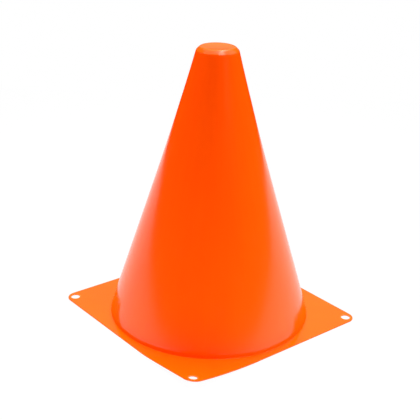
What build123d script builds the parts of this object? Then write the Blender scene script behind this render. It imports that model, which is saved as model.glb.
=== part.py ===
from build123d import *
import math
import os

# Sports marker cone: one thin plastic moulding, hollow and open underneath, on a square foot plate.
# The frame stands on the floor: the origin is the middle of the underside, +Z is the cone's axis,
# and the plate's sides run along X and Y. All sizes are millimetres.

# Driving dimensions of the wall.
cone_height = 178.0          # floor to the rim of the closed top
foot_diameter = 132.1        # outside of the wall, measured at the floor
top_diameter = 25.2          # outside of the wall, carried up to the rim
wall_hollow = 1.0            # how far the wall's outline bows inwards at half height
wall_thickness = 0.8         # measured square to the wall

# Driving dimensions of the foot plate.
flange_margin = 4.1          # plate left outside the foot at the middle of each side
flange_thickness = 0.6
flange_corner_radius = 7.3
flange_edge_radius = 0.2     # softened upper edge of the plate
hole_diameter = 5.8
hole_inset = 5.5             # from a hole's centre to each of the two sides beside it
root_radius = 0.4            # hollow curve outside, where the wall leaves the plate
root_height = 4.0            # stub of wall that stands on the plate as part of its section

# Driving dimensions of the closed top.
crown_height = 12.0          # depth of the top section, from the rim down
crown_thickness = 0.9        # plastic left under the middle of the dish
shoulder_radius = 3.9        # rounded edge between the wall and the rim
ceiling_radius = 3.0         # rounded edge inside, between the wall and the ceiling
dish_diameter = 17.0
dish_depth = 0.6

# Sizes that follow from the driving ones.
foot_radius = foot_diameter / 2
top_radius = top_diameter / 2
half_height_radius = (foot_radius + top_radius) / 2 - wall_hollow
wall_lean = math.atan2(foot_radius - top_radius, cone_height)
wall_width = wall_thickness / math.cos(wall_lean)
flange_width = foot_diameter + 2 * flange_margin
hole_spacing = flange_width - 2 * hole_inset
root_top = flange_thickness + root_height
crown_bottom = cone_height - crown_height
dish_floor = cone_height - dish_depth
ceiling_z = dish_floor - crown_thickness

# The wall's outline is one long arc, drawn as radius against height.
outline = ThreePointArc((foot_radius, 0), (half_height_radius, cone_height / 2), (top_radius, cone_height))


def wall_point(height, inset=0):
    """The point of the wall's outline at a height, moved inwards by an inset."""
    rise = height - outline.arc_center.Y
    radius = outline.arc_center.X - math.sqrt(outline.radius**2 - rise**2)
    return (radius - inset, height)


def wall_arc(start_height, end_height, inset=0):
    """The stretch of the wall's outline between two heights, moved inwards by an inset."""
    heights = (start_height, (start_height + end_height) / 2, end_height)
    return ThreePointArc(*[wall_point(height, inset) for height in heights])


def rounded(face, corner, radius):
    """A flat face with the corner at a point rounded."""
    return fillet(face.vertices().sort_by_distance(corner)[0], radius)


def turned(face):
    """A section drawn as radius against height, turned once about the cone's axis."""
    return revolve(Plane.XZ * face, Axis.Z)


def make_base_flange():
    """The square foot plate with its corner holes, and the root that turns up into the wall."""
    mouth = wall_point(0, wall_width)
    root = wall_point(flange_thickness)
    stub_outside = wall_point(root_top)
    stub_inside = wall_point(root_top, wall_width)
    past_corners = flange_width
    line = Curve() + wall_arc(0, root_top, wall_width)
    line += Line(stub_inside, stub_outside)
    line += wall_arc(root_top, flange_thickness)
    line += Polyline(root, (past_corners, flange_thickness), (past_corners, 0), mouth)
    section = rounded(make_face(line), root, root_radius)
    section = rounded(section, mouth, root_radius + wall_thickness)

    square = RectangleRounded(flange_width, flange_width, flange_corner_radius)
    body = turned(section) & extrude(square, root_top)
    plate_top = body.faces().filter_by(Plane.XY).sort_by(Axis.Z)[-2]
    body = fillet(plate_top.outer_wire().edges(), flange_edge_radius)
    hole = Cylinder(hole_diameter / 2, 4 * flange_thickness)
    return body - GridLocations(hole_spacing, hole_spacing, 2, 2) * hole


def make_cone_wall():
    """The tapered wall between the plate's root and the top section."""
    line = Curve() + wall_arc(root_top, crown_bottom)
    line += Line(wall_point(crown_bottom), wall_point(crown_bottom, wall_width))
    line += wall_arc(crown_bottom, root_top, wall_width)
    line += Line(wall_point(root_top, wall_width), wall_point(root_top))
    return turned(make_face(line))


def make_crown():
    """The closed top, with its rounded shoulder and its shallow dish."""
    rim = wall_point(cone_height)
    ceiling_corner = wall_point(ceiling_z, wall_width)
    joint_outside = wall_point(crown_bottom)
    joint_inside = wall_point(crown_bottom, wall_width)
    line = Curve() + wall_arc(crown_bottom, cone_height)
    line += Polyline(rim, (0, cone_height), (0, ceiling_z), ceiling_corner)
    line += wall_arc(ceiling_z, crown_bottom, wall_width)
    line += Line(joint_inside, joint_outside)
    section = rounded(make_face(line), rim, shoulder_radius)
    section = rounded(section, ceiling_corner, ceiling_radius)

    dish_sphere = (dish_diameter**2 / 4 + dish_depth**2) / (2 * dish_depth)
    dish = Pos(0, 0, dish_floor + dish_sphere) * Sphere(dish_sphere)
    return turned(section) - dish


nodes = {
    "base_flange": make_base_flange(),
    "cone_wall": make_cone_wall(),
    "crown": make_crown(),
}

os.makedirs("parts", exist_ok=True)
for name, solid in nodes.items():
    export_step(solid, f"parts/{name}.step")
    print(name, "volume", round(solid.volume, 1), "mm3")
print("flange width", flange_width, "hole spacing", hole_spacing)
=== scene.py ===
# %% [markdown]
# A marker cone for sports drills is one thin moulding in bright orange plastic: a square foot plate,
# a tall tapered wall and a small closed top. The solids come in as a fixed frame, in metres, with
# +Z up and the floor at zero. The lesson rebuilds their skins as fine meshes, because a glossy
# surface shows every flat facet in its reflections.

# %% The frame
import math

import bmesh
import bpy
from mathutils import Matrix, Vector, geometry


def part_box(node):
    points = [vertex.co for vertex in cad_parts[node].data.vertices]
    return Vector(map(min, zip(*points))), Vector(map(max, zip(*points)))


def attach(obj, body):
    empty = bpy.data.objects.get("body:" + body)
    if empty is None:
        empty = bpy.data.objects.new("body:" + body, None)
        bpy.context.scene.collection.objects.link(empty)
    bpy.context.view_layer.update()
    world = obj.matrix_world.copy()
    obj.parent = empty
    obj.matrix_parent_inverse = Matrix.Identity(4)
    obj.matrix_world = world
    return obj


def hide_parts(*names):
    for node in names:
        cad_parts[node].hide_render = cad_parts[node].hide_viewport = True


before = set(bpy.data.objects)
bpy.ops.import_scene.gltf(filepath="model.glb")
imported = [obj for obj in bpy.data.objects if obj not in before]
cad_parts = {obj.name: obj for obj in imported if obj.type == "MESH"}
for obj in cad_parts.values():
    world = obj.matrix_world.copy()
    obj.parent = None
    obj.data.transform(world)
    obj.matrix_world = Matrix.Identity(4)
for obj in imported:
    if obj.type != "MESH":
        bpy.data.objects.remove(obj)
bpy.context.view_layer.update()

# %% [markdown]
# The heights and radii that matter are read from the boxes of the three solids, so the skins always
# fit them. Only what a box can't tell is written here: the wall's radius at the rim of the top, how
# far the wall bows inwards and how thick the plastic is.

# %% Sizes from the frame
plate_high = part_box("base_flange")[1]
wall_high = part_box("cone_wall")[1]
crown_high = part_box("crown")[1]
half_width = plate_high.x
root_top = plate_high.z
root_top_radius = wall_high.x
crown_bottom = wall_high.z
cone_height = crown_high.z

mm = 0.001
top_radius = 12.5 * mm
wall_hollow = 1.05 * mm
bow_power = 1.9
wall_thickness = 0.8 * mm
plate_thickness = 0.6 * mm
print("plate width", round(2 * half_width, 4), "height", round(cone_height, 4))

# %% [markdown]
# The wall is almost a straight cone, but its outline bows inwards by about a millimetre, most of it
# above the middle. One formula gives the radius at any height. The root and the top use it too, so
# that the three skins meet on the same line.

# %% The wall's outline
wall_run = cone_height - root_top
wall_draw = root_top_radius - top_radius
wall_width = wall_thickness / math.cos(math.atan2(wall_draw, wall_run))
deepest_share = bow_power / (bow_power + 1)
bow_scale = wall_hollow / (deepest_share**bow_power * (1 - deepest_share))


def wall_radius(height):
    """Outside radius of the cone at a height."""
    share = (height - root_top) / wall_run
    bow = bow_scale * max(share, 0) ** bow_power * (1 - share)
    return root_top_radius - wall_draw * share - bow


def lean_at(height):
    """Angle between the wall and the vertical at a height."""
    step = 0.1 * mm
    return math.atan2(wall_radius(height - step) - wall_radius(height + step), 2 * step)


print("lean at floor and top", [round(math.degrees(lean_at(z)), 2) for z in (0, cone_height)])

# %% [markdown]
# The camera stands where the photograph was taken from: a little above the cone, turned so that one
# corner of the plate points almost at the viewer. A long lens keeps the sides nearly parallel. The
# picture leans by almost two degrees, which is a roll of the camera about its own axis.

# %% The camera
picture_pixels = 420
focal_pixels = 914.1
view_turn = math.radians(-39.98)
view_elevation = math.radians(23.02)
view_roll = math.radians(1.93)
view_distance = 588.4 * mm
aim_right = -1.43 * mm
aim_height = 71.32 * mm


def stage_point(right, back, up):
    """A place on the stage, given as seen from the camera: to the right, further back and up."""
    return Matrix.Rotation(view_turn, 3, "Z") @ Vector((right, back, up))


aim = stage_point(aim_right, 0, aim_height)
ahead = stage_point(0, math.cos(view_elevation), -math.sin(view_elevation))
sideways = stage_point(1, 0, 0)
upwards = sideways.cross(ahead)
picture_right = math.cos(view_roll) * sideways + math.sin(view_roll) * upwards
picture_up = math.cos(view_roll) * upwards - math.sin(view_roll) * sideways

lens = bpy.data.cameras.new("camera")
lens.sensor_width = 36.0
lens.lens = focal_pixels / picture_pixels * lens.sensor_width
camera = bpy.data.objects.new("camera", lens)
bpy.context.scene.collection.objects.link(camera)
camera_turn = Matrix((picture_right, picture_up, -ahead)).transposed()
camera.matrix_world = Matrix.Translation(aim - view_distance * ahead) @ camera_turn.to_4x4()
bpy.context.scene.camera = camera
print("camera at", [round(v, 4) for v in camera.matrix_world.translation], "lens", round(lens.lens, 2))

# %% [markdown]
# A moulding that is round can be turned, as on a lathe. A closed outline of radius and height is spun
# about the axis into rings of four-sided faces. Blender has a Spin tool and a Screw modifier for
# this, but building the rings by hand leaves no doubled seam, closes the pole with a fan, and lets
# each corner of the outline be marked as a crisp edge.

# %% Rings and rows of faces
around = 192


def circle(radius, count=around, centre=(0, 0)):
    """Points on a level circle, counted anticlockwise from +X."""
    angles = [2 * math.pi * i / count for i in range(count)]
    return [(centre[0] + radius * math.cos(a), centre[1] + radius * math.sin(a)) for a in angles]


def add_row(skin, points, height):
    """New vertices at a height, one for each level point."""
    return [skin.verts.new((x, y, height)) for x, y in points]


def bridge(skin, first, second):
    """Faces between two closed rows of vertices; either row may be a single vertex."""
    count = max(len(first), len(second))
    for i in range(count):
        there = [first[k % len(first)] for k in (i, i + 1)]
        back = [second[k % len(second)] for k in (i + 1, i)]
        skin.faces.new(list(dict.fromkeys(there + back)))


def crease(skin, row):
    """Marks a closed row of edges as crisp, so that shading doesn't run over it."""
    for i, vertex in enumerate(row):
        skin.edges.get((vertex, row[(i + 1) % len(row)])).smooth = False


def spaced(start, end, count):
    """Evenly spaced numbers from start to end, both included."""
    return [start + (end - start) * i / (count - 1) for i in range(count)]


print("rings of", around, "points")

# %% [markdown]
# Every piece is finished in the same way: its faces are turned outwards, it is shaded smooth, it
# rides on the one rigid body, it stands for its solid and it takes the same plastic.

# %% Turning and finishing a piece
def turn(outline, crisp=()):
    """Turns a closed outline of (radius, height) points; crisp holds the indices of its corners."""
    skin = bmesh.new()
    rows = [add_row(skin, circle(r) if r > 0 else [(0, 0)], z) for r, z in outline]
    for first, second in zip(rows, rows[1:] + rows[:1]):
        if len(first) + len(second) > 2:
            bridge(skin, first, second)
    for i in crisp:
        crease(skin, rows[i])
    return skin


def finish_piece(name, skin, node):
    """Makes an object from a skin, in place of a solid."""
    bmesh.ops.recalc_face_normals(skin, faces=skin.faces)
    mesh = bpy.data.meshes.new(name)
    skin.to_mesh(mesh)
    skin.free()
    mesh.shade_smooth()
    piece = bpy.data.objects.new(name, mesh)
    bpy.context.scene.collection.objects.link(piece)
    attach(piece, "root")
    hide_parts(node)
    print(name, "has", len(mesh.polygons), "faces")
    return piece


print("ready to turn", sorted(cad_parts))

# %% [markdown]
# The wall's skin runs up the outside and down the inside, with a flat ring at each end where the
# root and the top take over. Rows every few millimetres follow the bow of the outline.

# %% The tapered wall
wall_rows = 61
wall_outside = [(wall_radius(z), z) for z in spaced(root_top, crown_bottom, wall_rows)]
wall_inside = [(radius - wall_width, z) for radius, z in reversed(wall_outside)]
wall_crisp = (0, wall_rows - 1, wall_rows, 2 * wall_rows - 1)
tapered_wall = finish_piece("tapered_wall", turn(wall_outside + wall_inside, wall_crisp), "cone_wall")

# %% [markdown]
# The closed top has a sloping shoulder with rounded ends, a narrow rim and a shallow dish. The edge of
# the dish is soft on the real moulding, so its depth fades out by a formula instead of ending in a
# corner.

# %% The closed top
shoulder_top = 10.75 * mm
shoulder_drop = 2.45 * mm
rim_radius = 2.6 * mm
shoulder_radius = 1.8 * mm
dish_radius = 9.2 * mm
dish_depth = 0.6 * mm
dish_softness = 0.08 * mm
ceiling_drop = 1.5 * mm
ceiling_radius = 3.0 * mm
rise_rows = 7
corner_rows = 9
dish_rows = 24
ceiling_rows = 6
fall_rows = 6


def ceiling_arc():
    """Arc inside the top, from the wall to the level ceiling."""
    level = cone_height - ceiling_drop
    lean = lean_at(level)
    centre = wall_radius(level - ceiling_radius) - wall_width - ceiling_radius / math.cos(lean)
    low = level - ceiling_radius
    angles = spaced(lean, math.pi / 2, ceiling_rows)
    return [(centre + ceiling_radius * math.cos(a), low + ceiling_radius * math.sin(a)) for a in angles]


def round_corner(before, corner, after, radius):
    """Arc that rounds one corner of an outline."""
    corner = Vector(corner)
    back, ahead = (Vector(before) - corner).normalized(), (Vector(after) - corner).normalized()
    half = back.angle(ahead) / 2
    centre = corner + (back + ahead).normalized() * radius / math.sin(half)
    start, end = [corner + way * radius / math.tan(half) - centre for way in (back, ahead)]
    spokes = [start.lerp(end, share).normalized() for share in spaced(0, 1, corner_rows)]
    return [tuple(centre + spoke * radius) for spoke in spokes]


def dish_height(radius):
    """Height of the top's upper face at a radius."""
    sunk = dish_depth * (1 - (radius / dish_radius) ** 2)
    return cone_height - (sunk + math.hypot(sunk, dish_softness)) / 2


shoulder_low = cone_height - shoulder_drop
shoulder_foot = (wall_radius(shoulder_low), shoulder_low)
rim_corner = (shoulder_top, cone_height)
wall_foot = (wall_radius(crown_bottom), crown_bottom)
shoulder = round_corner(wall_foot, shoulder_foot, rim_corner, shoulder_radius)
shoulder += round_corner(shoulder_foot, rim_corner, (0, cone_height), rim_radius)
rise = [(wall_radius(z), z) for z in spaced(crown_bottom, shoulder[0][1], rise_rows)[:-1]]
dish = [(r, dish_height(r)) for r in spaced(shoulder[-1][0], 0, dish_rows)[1:]]
ceiling = ceiling_arc()
fall = [(wall_radius(z) - wall_width, z) for z in spaced(ceiling[0][1], crown_bottom, fall_rows)[1:]]
top_outline = rise + shoulder + dish + [(0, ceiling[-1][1])] + ceiling[::-1] + fall
closed_top = finish_piece("closed_top", turn(top_outline, (0, len(top_outline) - 1)), "crown")

# %% [markdown]
# The foot plate is a rounded square with a round hole in each corner, and the wall grows out of its
# middle. A plan like that has no rows, so its flat faces are filled by a triangulation that keeps
# every given edge. A grid of points inside lets the plate bend, and a second loop close to each edge
# keeps the roundings from tinting the flat faces.

# %% The plan of the foot plate
corner_radius = 7.3 * mm
hole_radius = 2.9 * mm
hole_inset = 5.5 * mm
hole_place = half_width - hole_inset
hole_centres = [(x, y) for x in (-hole_place, hole_place) for y in (-hole_place, hole_place)]
side_points = 56
corner_points = 13
hole_points = 40
grid_step = 2.2 * mm


def rounded_square(inset):
    """Points around the plate's outline, moved inwards by an inset."""
    points = []
    reach = half_width - corner_radius
    for quarter in range(4):
        turned = Matrix.Rotation(quarter * math.pi / 2, 2)
        side = [(half_width - inset, y) for y in spaced(-reach, reach, side_points)[1:-1]]
        angles = spaced(0, math.pi / 2, corner_points)
        radius = corner_radius - inset
        corner = [(reach + radius * math.cos(a), reach + radius * math.sin(a)) for a in angles]
        points += [tuple(turned @ Vector(point)) for point in side + corner]
    return points


def inside_plan(point, rim_inset, hole_reach, root_reach, margin):
    """Whether a level point lies between the rim, the holes and the root, a margin away from each."""
    x, y = abs(point[0]), abs(point[1])
    reach = half_width - corner_radius
    past_rim = math.hypot(max(x - reach, 0), max(y - reach, 0)) > corner_radius - rim_inset - margin
    in_hole = math.hypot(x - hole_place, y - hole_place) < hole_reach + margin
    in_root = math.hypot(x, y) < root_reach + margin
    return not (past_rim or in_hole or in_root)


print("outline", len(rounded_square(0)), "points, holes at", round(hole_place, 4))

# %% [markdown]
# The loops come from vertices that the rounded edges use too, so the flat faces and the edges share
# them and the skin stays closed. The triangulation also fills the holes and leaves slivers along the
# straight sides, so a face is kept only if its middle lies clear of every loop.

# %% Filling a flat face
guard = 0.25 * mm
grid_margin = 1.2 * mm
sliver_margin = 0.02 * mm
weld_distance = 1e-8
all_triangles = 0


def fill_flat(skin, height, rim, holes, root, rim_inset, hole_reach, root_reach):
    """Fills a level face of the plate between given rows of vertices."""
    limits = (rim_inset, hole_reach, root_reach)
    loops = [rim] + holes + [root]
    rows = [vertex for loop in loops for vertex in loop]
    edges = []
    for loop in loops:
        start = rows.index(loop[0])
        edges += [(start + i, start + (i + 1) % len(loop)) for i in range(len(loop))]
    loose = rounded_square(rim_inset + guard) + circle(root_reach + guard)
    for centre in hole_centres:
        loose += circle(hole_reach + guard, hole_points, centre)
    ticks = spaced(-half_width, half_width, round(2 * half_width / grid_step))
    grid = [(x, y) for x in ticks for y in ticks]
    loose += [point for point in grid if inside_plan(point, *limits, grid_margin)]
    plan = [Vector(vertex.co.xy) for vertex in rows] + [Vector(point) for point in loose]
    found, _, faces, origin, _, _ = geometry.delaunay_2d_cdt(plan, edges, [], all_triangles, weld_distance)
    verts = rows + add_row(skin, loose, height)
    for face in faces:
        middle = sum((found[i] for i in face), Vector((0, 0))) / len(face)
        if inside_plan(middle, *limits, sliver_margin):
            skin.faces.new([verts[origin[i][0]] for i in face])


print("flat faces have points every", round(grid_step / mm, 2), "mm")

# %% [markdown]
# Along the outline the upper edge is softened and the lower one is nearly sharp, as a mould leaves
# them. Each hole has a small radius at both ends. A Bevel modifier could round them, but rows of faces
# made by hand can be shared with the flat faces.

# %% The edges of the foot plate
edge_radius = 0.2 * mm
lower_edge = 0.1 * mm
lower_rows = 3
upper_rows = 5


def edge_profile(upper, lower):
    """Inset and height of the rows around an edge of the plate, from its underside to its top."""
    lower_turn = spaced(0, math.pi / 2, lower_rows)
    upper_turn = spaced(0, math.pi / 2, upper_rows)
    rise = plate_thickness - upper
    low = [(lower * (1 - math.sin(a)), lower * (1 - math.cos(a))) for a in lower_turn]
    high = [(upper * (1 - math.cos(a)), rise + upper * math.sin(a)) for a in upper_turn]
    return low + high


def add_edge(skin, loop, upper, lower):
    """Rows of faces around an edge; returns its lowest and its highest row."""
    rows = [add_row(skin, loop(inset), z) for inset, z in edge_profile(upper, lower)]
    for first, second in zip(rows, rows[1:]):
        bridge(skin, first, second)
    return rows[0], rows[-1]


def hole_loop(centre):
    """A function that gives the points around a hole, moved outwards by an inset of its edge."""
    return lambda inset: circle(hole_radius + inset, hole_points, centre)


plate = bmesh.new()
rim_low, rim_high = add_edge(plate, rounded_square, edge_radius, lower_edge)
hole_rows = [add_edge(plate, hole_loop(centre), lower_edge, lower_edge) for centre in hole_centres]
print("edges of the rim and of", len(hole_rows), "holes")

# %% [markdown]
# The root is where the plate turns up into the wall. The plastic is thickest there and shrinks most as
# it cools, so the lowest few millimetres of the wall are drawn in and stand steeper, and this narrow
# band mirrors the plate instead of the table. The two flat faces then close the skin between the rim,
# the holes and the root.

# %% The root and the flat faces
root_radius = 0.12 * mm
mouth_radius = root_radius + wall_thickness
band_top = 3.0 * mm
band_lean = math.radians(8)
root_turn_rows = 7
band_part_rows = 4


def foot_radius(height):
    """Outside radius near the floor, with the band that is drawn in."""
    drop = max(0, band_top - height)
    return wall_radius(height + drop) + drop * math.tan(band_lean)


root_centre = foot_radius(plate_thickness + root_radius) + root_radius / math.cos(band_lean)
mouth_centre = foot_radius(mouth_radius) - wall_width + mouth_radius / math.cos(band_lean)
root_angles = spaced(0, math.pi / 2 - band_lean, root_turn_rows)
outer_root = [
    (root_centre - root_radius * math.sin(a), plate_thickness + root_radius * (1 - math.cos(a)))
    for a in root_angles
]
mouth = [
    (mouth_centre - mouth_radius * math.sin(a), mouth_radius * (1 - math.cos(a))) for a in root_angles
]
band_rows = spaced(plate_thickness + mouth_radius, band_top, band_part_rows)
band_rows += spaced(band_top, root_top, band_part_rows)[1:]
outer_root += [(foot_radius(z), z) for z in band_rows]
mouth += [(foot_radius(z) - wall_width, z) for z in band_rows]
root_rows = [add_row(plate, circle(r), z) for r, z in outer_root + mouth[::-1]]
for first, second in zip(root_rows, root_rows[1:]):
    bridge(plate, first, second)
rows_above_band = len(band_rows) - 1 - band_rows.index(band_top)
joint = len(outer_root)
for row in (joint - 1 - rows_above_band, joint - 1, joint, joint + rows_above_band):
    crease(plate, root_rows[row])
fill_flat(plate, plate_thickness, rim_high, [rows[1] for rows in hole_rows], root_rows[0],
          edge_radius, hole_radius + lower_edge, root_centre)
fill_flat(plate, 0, rim_low, [rows[0] for rows in hole_rows], root_rows[-1],
          lower_edge, hole_radius + lower_edge, mouth_centre)
print("plate open edges", sum(1 for edge in plate.edges if not edge.is_manifold))

# %% [markdown]
# On the photographed cone the corner nearest the viewer curls up by a few millimetres, as soft plates
# do after being trodden on. The bend starts at the wall and rises faster than in a straight line,
# and it is a little stronger on the left. It also draws the hole of that corner together, so that it
# is smaller than the other three. Each vertex is simply moved by a formula of its place.

# %% The curled corner
curl_start = 64.0 * mm
curl_end = (half_width - corner_radius) * math.sqrt(2) + corner_radius
curl_lift = 4.29 * mm
curl_power = 1.44
curl_twist = 0.0123 / mm
front_hole = Vector((-hole_place, -hole_place))
hole_pinch = 0.11
pinch_reach = 4.7 * mm


def curl(x, y):
    """How far the plate is lifted at a place."""
    out = -(x + y) / math.sqrt(2)
    across = (y - x) / math.sqrt(2)
    share = max(0, (out - curl_start) / (curl_end - curl_start))
    return curl_lift * share**curl_power * (1 + curl_twist * across)


def pinch(x, y):
    """Where a place ends up as the front hole is drawn together."""
    spoke = Vector((x, y)) - front_hole
    share = (pinch_reach - spoke.length) / (pinch_reach - hole_radius)
    return front_hole + spoke * (1 - hole_pinch * min(max(share, 0), 1))


for vertex in plate.verts:
    x, y, z = vertex.co
    vertex.co = (*pinch(x, y), z + curl(x, y))
foot_plate = finish_piece("foot_plate", plate, "base_flange")
print("front hole lifted by", round(curl(*front_hole) / mm, 2), "mm")

# %% [markdown]
# Shader maths reads best as plain expressions. The class below wraps one socket of a node tree: sums,
# products and differences of signals add Math nodes, and any other node comes from one method.

# %% Signals for shader maths
class Signal:
    """One socket of a node tree, for use in Python expressions."""

    def __init__(self, tree, socket=None):
        self.tree = tree
        self.socket = socket

    def node(self, kind, settings=None, inputs=None, out=0):
        """Adds a node: its settings come first, then the values or links of its sockets."""
        made = self.tree.nodes.new("ShaderNode" + kind)
        for name, value in (settings or {}).items():
            setattr(made, name, value)
        for name, value in (inputs or {}).items():
            if isinstance(value, Signal):
                self.tree.links.new(value.socket, made.inputs[name])
            else:
                made.inputs[name].default_value = value
        return Signal(self.tree, made.outputs[out] if made.outputs else None)

    def maths(self, operation, first, second=0.0):
        return self.node("Math", {"operation": operation}, {0: first, 1: second})

    def __add__(self, other):
        return self.maths("ADD", self, other)

    def __radd__(self, other):
        return self.maths("ADD", other, self)

    def __sub__(self, other):
        return self.maths("SUBTRACT", self, other)

    def __rsub__(self, other):
        return self.maths("SUBTRACT", other, self)

    def __mul__(self, other):
        return self.maths("MULTIPLY", self, other)

    def __rmul__(self, other):
        return self.maths("MULTIPLY", other, self)

    def fade(self, start, end):
        """Rises smoothly from 0 at start to 1 at end; start may be the larger one."""
        ends = {"Value": self, "From Min": start, "From Max": end}
        return self.node("MapRange", {"interpolation_type": "SMOOTHSTEP"}, ends)

    def blend(self, low, high):
        """A colour between two, with this signal as the factor."""
        return self.node("Mix", {"data_type": "RGBA"}, {0: self, 6: low, 7: high}, out=2)


print("signals ready")

# %% [markdown]
# The plastic is a soft polyethylene, coloured all through and moulded against polished steel, so it
# is glossy with a faint ripple. Real mouldings are never one flat colour: the melt leaves long pale
# streaks along its path up the wall, there is a slow mottle, and handling dulls the gloss in patches.
# The colour is also lighter at the foot and deeper towards the top. An image could be painted for
# this, but noise that is worked out from the place on the object needs no unwrapping and runs on
# over the joints.

# %% Noise and streaks of the plastic
deep_orange = (1.0, 0.0635, 0.0004, 1)
light_orange = (1.0, 0.082, 0.0006, 1)
pale_orange = (1.0, 0.17, 0.025, 1)
# A darker orange, painted into the root as shade where the wall meets the plate.
shade_orange = (0.80, 0.050, 0.0008, 1)


def new_material(name):
    """An empty material and a signal to build its nodes with."""
    material = bpy.data.materials.new(name)
    material.use_nodes = True
    material.node_tree.nodes.clear()
    return material, Signal(material.node_tree)


def noise(start, place, scale, detail=2.0):
    """Soft noise between 0 and 1 at a scale in cycles per metre."""
    return start.node("TexNoise", None, {"Vector": place, "Scale": scale, "Detail": detail})


def split(start, vector):
    """The three parts of a vector."""
    return [start.node("SeparateXYZ", None, {0: vector}, out=axis) for axis in "XYZ"]


def join(start, x=0.0, y=0.0, z=0.0):
    """A vector from three parts."""
    return start.node("CombineXYZ", None, {"X": x, "Y": y, "Z": z})


def vectors(start, operation, first, second=(0, 0, 0), out="Vector"):
    """Vector Math on two vectors; some operations give a plain value."""
    return start.node("VectorMath", {"operation": operation}, {0: first, 1: second}, out=out)


def along_wall(start, bearing, z, stretch):
    """A place on the wall as its bearing and its height; a small stretch draws noise out upwards."""
    return vectors(start, "ADD", bearing, join(start, z=z * stretch))


print("plastic colours from", deep_orange[:3], "to", light_orange[:3])

# %% [markdown]
# Use leaves its marks where a cone is gripped, pegged and stacked. The plastic turns pale around the
# holes and along the plate's edge, it is paler on the top, the rim is scuffed, and a painted shade
# darkens the root where the wall meets the plate.
# The inside and the underside never touched the polished half of the mould, so they are matt. Each
# mark is a mask between 0 and 1 that is found from the place or from the way the surface faces.

# %% Marks of use and painted shade
pale_ring = 1.0 * mm
pale_edge_start = 0.6 * mm
pale_edge_end = 0.1 * mm
facing_blur = 0.2
scuff_depth = 2.5 * mm
scuff_start, scuff_end = 8 * mm, 10 * mm
paler_top_start, paler_top_end = 4 * mm, 1 * mm
# Reach and height of the painted shade in the root.
shade_reach, shade_full_reach = 1.5 * mm, 0.3 * mm
shade_height, shade_full_height = 12 * mm, 1 * mm


def hole_rims(start, x, y):
    """1 at the edge of each hole, fading out over a narrow ring."""
    aside = [start.maths("ABSOLUTE", part) - hole_place for part in (x, y)]
    from_hole = vectors(start, "LENGTH", join(start, *aside), out="Value")
    return from_hole.fade(hole_radius + pale_ring, hole_radius)


def plate_edge(start, x, y):
    """1 along the plate's outline, rounded corners included."""
    reach = half_width - corner_radius
    past = [start.maths("MAXIMUM", start.maths("ABSOLUTE", part) - reach, 0.0) for part in (x, y)]
    from_corner = vectors(start, "LENGTH", join(start, *past), out="Value")
    return from_corner.fade(corner_radius - pale_edge_start, corner_radius - pale_edge_end)


def hidden_side(start, bearing):
    """1 on the inside and the underside, by the way the surface faces."""
    facing = start.node("NewGeometry", out="Normal")
    outwards = vectors(start, "DOT_PRODUCT", facing, bearing, out="Value")
    upwards = split(start, facing)[2]
    return (outwards + upwards).fade(facing_blur, -facing_blur)


def scuffed_rim(z, radius):
    """1 on the rim of the top."""
    return z.fade(cone_height - scuff_depth, cone_height) * radius.fade(scuff_start, scuff_end)


def paler_top(z):
    """1 on the top, fading out down its shoulder."""
    return z.fade(cone_height - paler_top_start, cone_height - paler_top_end)


def root_painted_shade(z, radius):
    """1 in the root, where the wall meets the plate: a mask of painted shade."""
    foot = wall_radius(0)
    by_root = radius.fade(foot + shade_reach, foot + shade_full_reach)
    return z.fade(shade_height, shade_full_height) * by_root


print("pale ring around the holes", round(pale_ring / mm, 2), "mm")

# %% [markdown]
# The plastic itself is one Principled shader. Its colour blends from deep to light orange, then to a
# darker orange in the root, which is painted shade, and to the pale one where the masks ask for it.
# Handling, and fine upright scratches from sliding one cone over the next, make it a little rougher.
# A faint bump gives the ripple and the grain, which could be modelled too, but only with far more
# faces.

# %% The orange plastic
gloss = 0.13
plastic_ior = 1.46
streak_scale, streak_stretch, streak_detail = 9, 2.2, 3
scratch_scale, scratch_stretch = 70, 0.9
scratch_start, scratch_end = 0.62, 0.76
mottle_scale = 45
grain_scale, grain_detail = 2600, 1
ripple_scale = 420
handled_scale, handled_detail = 70, 4
handled_start, handled_end = 0.55, 0.75
light_foot, deep_top = 5 * mm, 175 * mm
foot_share, streak_share, mottle_share, tone_shift = 0.7, 0.5, 0.35, 0.275
hole_pale, edge_pale, scratch_pale, top_pale = 0.5, 0.35, 0.05, 0.1
root_shade_share = 0.15
wear_rough = 0.05
grain_rough = 0.03
hidden_rough = 0.28
ripple_share, grain_share = 0.8, 0.2
bump_strength, bump_distance = 0.06, 0.2 * mm


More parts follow.
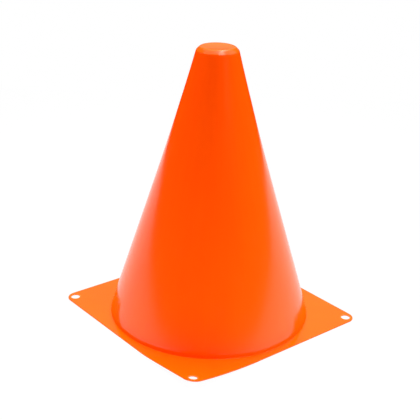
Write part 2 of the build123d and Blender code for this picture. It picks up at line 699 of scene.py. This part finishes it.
def orange_plastic(name):
    """The plastic of the whole moulding, with its streaks and its marks of use."""
    material, start = new_material(name)
    place = start.node("TexCoord", out="Object")
    x, y, z = split(start, place)
    level = join(start, x, y)
    bearing = vectors(start, "NORMALIZE", level)
    radius = vectors(start, "LENGTH", level, out="Value")
    streaks = noise(start, along_wall(start, bearing, z, streak_stretch), streak_scale, streak_detail)
    scratches = noise(start, along_wall(start, bearing, z, scratch_stretch), scratch_scale)
    scratches = scratches.fade(scratch_start, scratch_end)
    mottle = noise(start, place, mottle_scale)
    grain = noise(start, place, grain_scale, grain_detail)
    ripple = noise(start, place, ripple_scale)
    handled = noise(start, place, handled_scale, handled_detail).fade(handled_start, handled_end)

    pale = hole_pale * hole_rims(start, x, y) + edge_pale * plate_edge(start, x, y) * handled
    pale += scratch_pale * scratches + top_pale * paler_top(z)
    light = foot_share * z.fade(deep_top, light_foot)
    tone = light + streak_share * streaks + mottle_share * mottle - tone_shift
    colour = tone.blend(deep_orange, light_orange)
    # Painted shade: the root is darkened where the wall meets the plate.
    colour = (root_shade_share * root_painted_shade(z, radius)).blend(colour, shade_orange)
    colour = pale.blend(colour, pale_orange)
    wear = wear_rough * handled + wear_rough * scratches + wear_rough * scuffed_rim(z, radius)
    rough = gloss + grain_rough * grain + wear + hidden_rough * hidden_side(start, bearing)
    height = ripple * ripple_share + grain * grain_share
    bump = {"Height": height, "Strength": bump_strength, "Distance": bump_distance}
    normal = start.node("Bump", None, bump)
    shader = start.node("BsdfPrincipled", None, {
        "Base Color": colour, "Roughness": rough, "Normal": normal, "IOR": plastic_ior,
    })
    start.node("OutputMaterial", None, {"Surface": shader})
    return material


plastic = orange_plastic("orange_plastic_skin")
for piece in (tapered_wall, closed_top, foot_plate):
    piece.data.materials.append(plastic)
print("plastic nodes", len(plastic.node_tree.nodes))

# %% [markdown]
# The cone stands on a white table. For the camera the table is almost plain white, with only a
# breath of the cone's shadow, and mirror rays see the same white, so it shows in the sides of the wall.
# A Light Path node tells these rays from the ones that carry light. For the light the table is matt,
# with painted light in its grey: it is paler around the foot, a painted pool of light that throws
# some of it up at the wall, and greyer further out, a painted falloff of the light.

# %% The white table
plain_white = (1, 1, 1, 1)
table_rights = (-1.0, 1.0)
table_backs = (-0.40, 0.52)
table_level = -0.02 * mm
seen_white = 0.97
# Painted light on the table: grey that falls off with distance, and paler near the cone's foot.
near_grey, far_grey = 0.40, 0.26
near_reach, far_reach = 0.15, 0.75
painted_foot_light = 0.65
shine_reach, shine_full_reach = 0.25, 0.12


def seeing_rays(start):
    """1 for rays from the camera and for those that were mirrored or let through, 0 for the rest."""
    names = ("Is Camera Ray", "Is Glossy Ray", "Is Transmission Ray")
    camera_ray, glossy_ray, clear_ray = [start.node("LightPath", out=name) for name in names]
    return camera_ray + (glossy_ray + clear_ray)


def add_board(name, corners, material):
    """A flat board of the stage with its corners given as stage places."""
    mesh = bpy.data.meshes.new(name)
    mesh.from_pydata([stage_point(*corner) for corner in corners], [], [range(len(corners))])
    mesh.materials.append(material)
    board = bpy.data.objects.new(name, mesh)
    bpy.context.scene.collection.objects.link(board)
    return board


def level_corners(rights, backs, up):
    """Corners of a level board over a range to the right and a range to the back."""
    return [(rights[i], backs[j], up) for i, j in ((0, 0), (1, 0), (1, 1), (0, 1))]


def white_table(name):
    """Matt for the light, and plain white for the camera and for mirror rays."""
    material, start = new_material(name)
    place = start.node("TexCoord", out="Object")
    distance = vectors(start, "LENGTH", place, out="Value")
    # A painted pool of light around the foot, which throws more light up at the wall.
    shine = 1 + painted_foot_light * distance.fade(shine_reach, shine_full_reach)
    grey = near_grey - (near_grey - far_grey) * distance.fade(near_reach, far_reach)
    matt = start.node("BsdfPrincipled", None, {"Base Color": grey * shine, "Specular IOR Level": 0.0})
    glow = start.node("Emission", None, {"Color": plain_white, "Strength": 1.0})
    veil = seen_white * seeing_rays(start)
    mixed = start.node("MixShader", None, {0: veil, 1: matt, 2: glow})
    start.node("OutputMaterial", None, {"Surface": mixed})
    return material


add_board("table", level_corners(table_rights, table_backs, table_level), white_table("white_table"))
print("table over", table_rights, "and", table_backs)

# %% [markdown]
# A glossy thing is shaped by what it mirrors. Photographers stand black boards just out of the
# picture, so that the faces turned to the camera stay deep in colour, and pale ones where a sheen is
# wanted. Here dark boards close a room around the stage, a grey panel behind gives the level plate
# its sheen, with a dimmer one under it, and a pale ceiling that turns down on the right, with one
# bright strip, gives the top its highlight. Only mirror rays see them.

# %% Boards for the reflections
def add_reflector(name, corners, grey):
    """A board that only mirror rays see."""
    material, start = new_material(name)
    tint = start.node("Emission", None, {"Color": plain_white, "Strength": grey})
    start.node("OutputMaterial", None, {"Surface": tint})
    board = add_board(name, corners, material)
    board.visible_camera = False
    board.visible_diffuse = False
    board.visible_shadow = False


def upright_corners(first, second, low, high):
    """Corners of an upright board between two level places and two heights."""
    return [(*first, low), (*second, low), (*second, high), (*first, high)]


room_side = 1.5
room_top = 1.8
room_floor = -0.01
dark = 0.0
span = (-room_side, room_side)
sides = [corner[:2] for corner in level_corners(span, span, room_floor)]
for name, first, second in zip(("front", "right", "back", "left"), sides, sides[1:] + sides[:1]):
    add_reflector("dark_" + name, upright_corners(first, second, room_floor, room_top), dark)
add_reflector("dark_floor", level_corners(span, span, room_floor), dark)
add_reflector("dark_ceiling", level_corners(span, span, room_top), dark)
print("room", 2 * room_side, "m wide")

# %% [markdown]
# The pale boards hang inside the dark room. A lamp could make the same highlights, but a board keeps
# them apart from the light on the matt side of the plastic, so each can be set by itself.

# %% The pale boards
panel_gap = 0.01
panel_half = 0.55
panel_ends = [(side * panel_half, room_side - panel_gap) for side in (-1, 1)]
panel_low, panel_middle, panel_high = 0.30, 0.65, 1.25
panel_grey = 0.38
dim_grey = 0.22
ceiling_rights = (-1.3, 1.4)
ceiling_backs = (-0.5, 1.2)
ceiling_level = 1.6
ceiling_end = 0.9
ceiling_grey = 1.0
strip_rights = (0.10, 0.55)
strip_backs = (-0.7, 0.9)
strip_level = 1.5
strip_white = 6.0
turned_down = [(ceiling_rights[1], back) for back in ceiling_backs]
pale_boards = [
    ("grey_panel", upright_corners(*panel_ends, panel_middle, panel_high), panel_grey),
    ("dim_panel", upright_corners(*panel_ends, panel_low, panel_middle), dim_grey),
    ("pale_ceiling", level_corners(ceiling_rights, ceiling_backs, ceiling_level), ceiling_grey),
    ("pale_right", upright_corners(*turned_down, ceiling_end, ceiling_level), ceiling_grey),
    ("bright_strip", level_corners(strip_rights, strip_backs, strip_level), strip_white),
]
for name, corners, grey in pale_boards:
    add_reflector(name, corners, grey)
print("pale boards", [name for name, corners, grey in pale_boards])

# %% [markdown]
# Soft square lamps light the matt side of the plastic: the main one stands high behind the cone, so
# that the level plate is brighter than the wall and the shadow falls forward. Weaker ones from above
# and from the sides lift the edges of the wall. Mirror rays don't see them, because the boards give
# the reflections.

# %% The lamps
lamp_distance = 1.15
lamp_width = 0.5
lamp_aim = (0, 0, 0.05)


def soft_lamp(name, bearing, elevation, power):
    """A square lamp; its bearing in degrees runs to the right from straight behind the cone."""
    data = bpy.data.lights.new(name, "AREA")
    data.shape = "SQUARE"
    data.size = lamp_width
    data.energy = power
    lamp = bpy.data.objects.new(name, data)
    right, up = math.radians(bearing), math.radians(elevation)
    reach = lamp_distance * math.cos(up)
    aim_at = stage_point(*lamp_aim)
    away = stage_point(reach * math.sin(right), reach * math.cos(right), lamp_distance * math.sin(up))
    turn_to_aim = away.to_track_quat("Z", "Y").to_matrix().to_4x4()
    lamp.matrix_world = Matrix.Translation(aim_at + away) @ turn_to_aim
    lamp.visible_camera = False
    lamp.visible_glossy = False
    bpy.context.scene.collection.objects.link(lamp)
    return lamp


lamps = [
    soft_lamp("lamp_back", bearing=0, elevation=62, power=29.3),
    soft_lamp("lamp_top", bearing=0, elevation=89, power=6.0),
    soft_lamp("lamp_right", bearing=90, elevation=35, power=8.8),
    soft_lamp("lamp_front_right", bearing=135, elevation=35, power=7.8),
    soft_lamp("lamp_left", bearing=-90, elevation=35, power=10.3),
]
print("lamps", [(lamp.name, round(lamp.data.energy, 1)) for lamp in lamps])

# %% [markdown]
# The world shows plain white to the camera and to mirror rays, and lights nothing, so all the light
# comes from the lamps. The Standard view leaves the colours as they were worked out.

# %% The world
world = bpy.data.worlds.new("studio")
world.use_nodes = True
world.node_tree.nodes.clear()
bpy.context.scene.world = world
start = Signal(world.node_tree)
unlit = start.node("Background", None, {"Strength": 0.0})
white = start.node("Background", None, {"Color": plain_white, "Strength": 1.0})
sky = start.node("MixShader", None, {0: seeing_rays(start), 1: unlit, 2: white})
start.node("OutputWorld", None, {"Surface": sky})
bpy.context.scene.view_settings.view_transform = "Standard"
print("world", world.name, "with", len(world.node_tree.nodes), "nodes")
